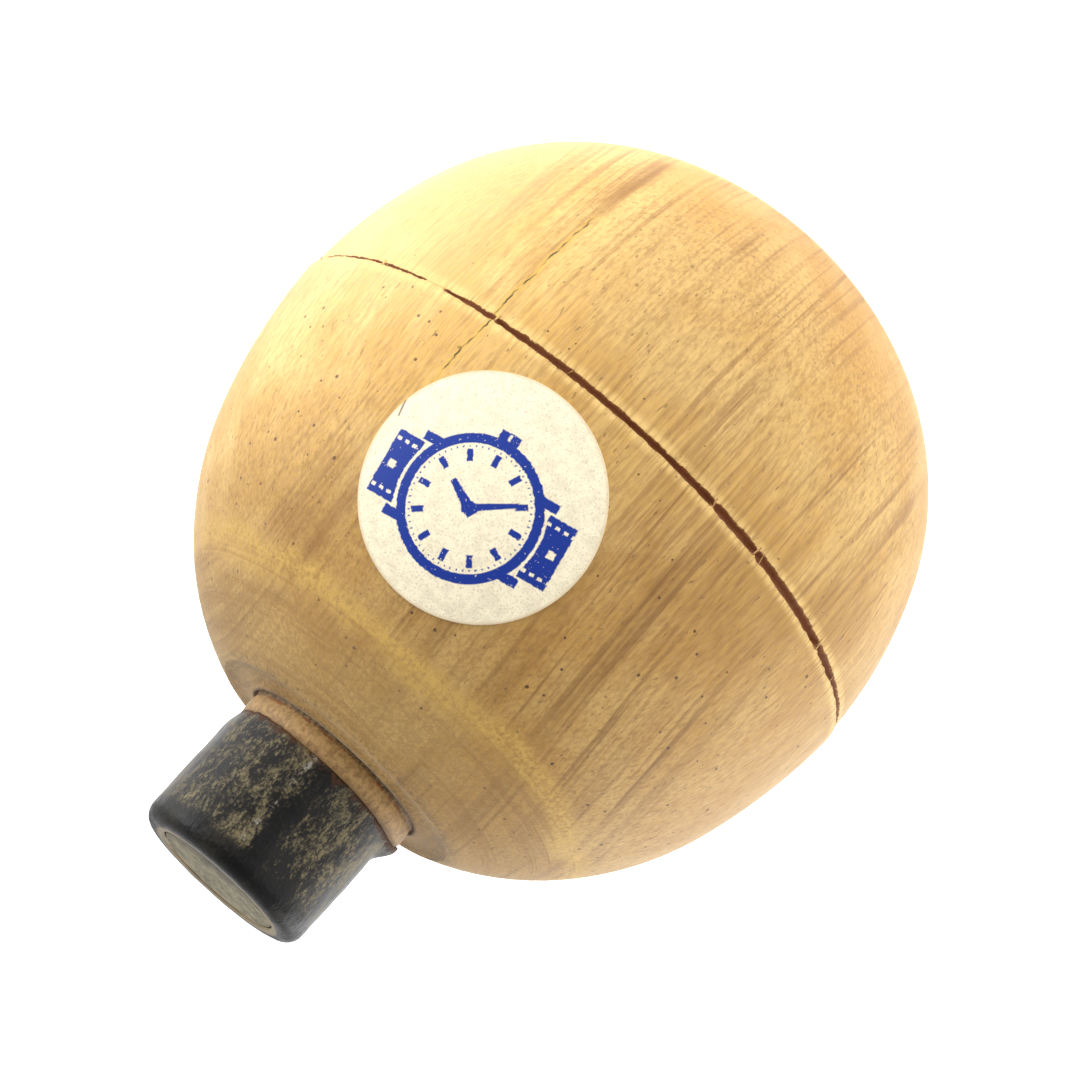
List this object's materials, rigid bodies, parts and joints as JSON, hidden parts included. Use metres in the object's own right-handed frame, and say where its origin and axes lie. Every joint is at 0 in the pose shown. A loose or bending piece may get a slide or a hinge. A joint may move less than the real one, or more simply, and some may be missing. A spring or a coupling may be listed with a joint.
{
  "type": "watch case friction ball",
  "caption": "Turned wooden palm ball with a scored middle line and a steel ferrule holding a rubber plug, used to twist screw-back watch cases open by friction.",
  "frame": {"origin": "middle of the sanded flat on the ball's pole, which is the lowest face", "axes": "+Z along the turning axis, from the pole to the ferrule's end; -Y is the front, where the label is"},
  "size_m": [0.0572, 0.0572, 0.0706],
  "materials": {
    "turned_wood": "bare, sanded, with fine grain along the turning axis",
    "dark_steel": "blackened and mottled with age",
    "plug_rubber": "aged, matt, grey-green",
    "label_paper": "uncoated paper with a one-colour print"
  },
  "bodies": {
    "root": {"wooden_ball": "turned_wood", "ferrule": "dark_steel", "friction_plug": "plug_rubber", "paper_label": "label_paper"}
  },
  "joints": []
}
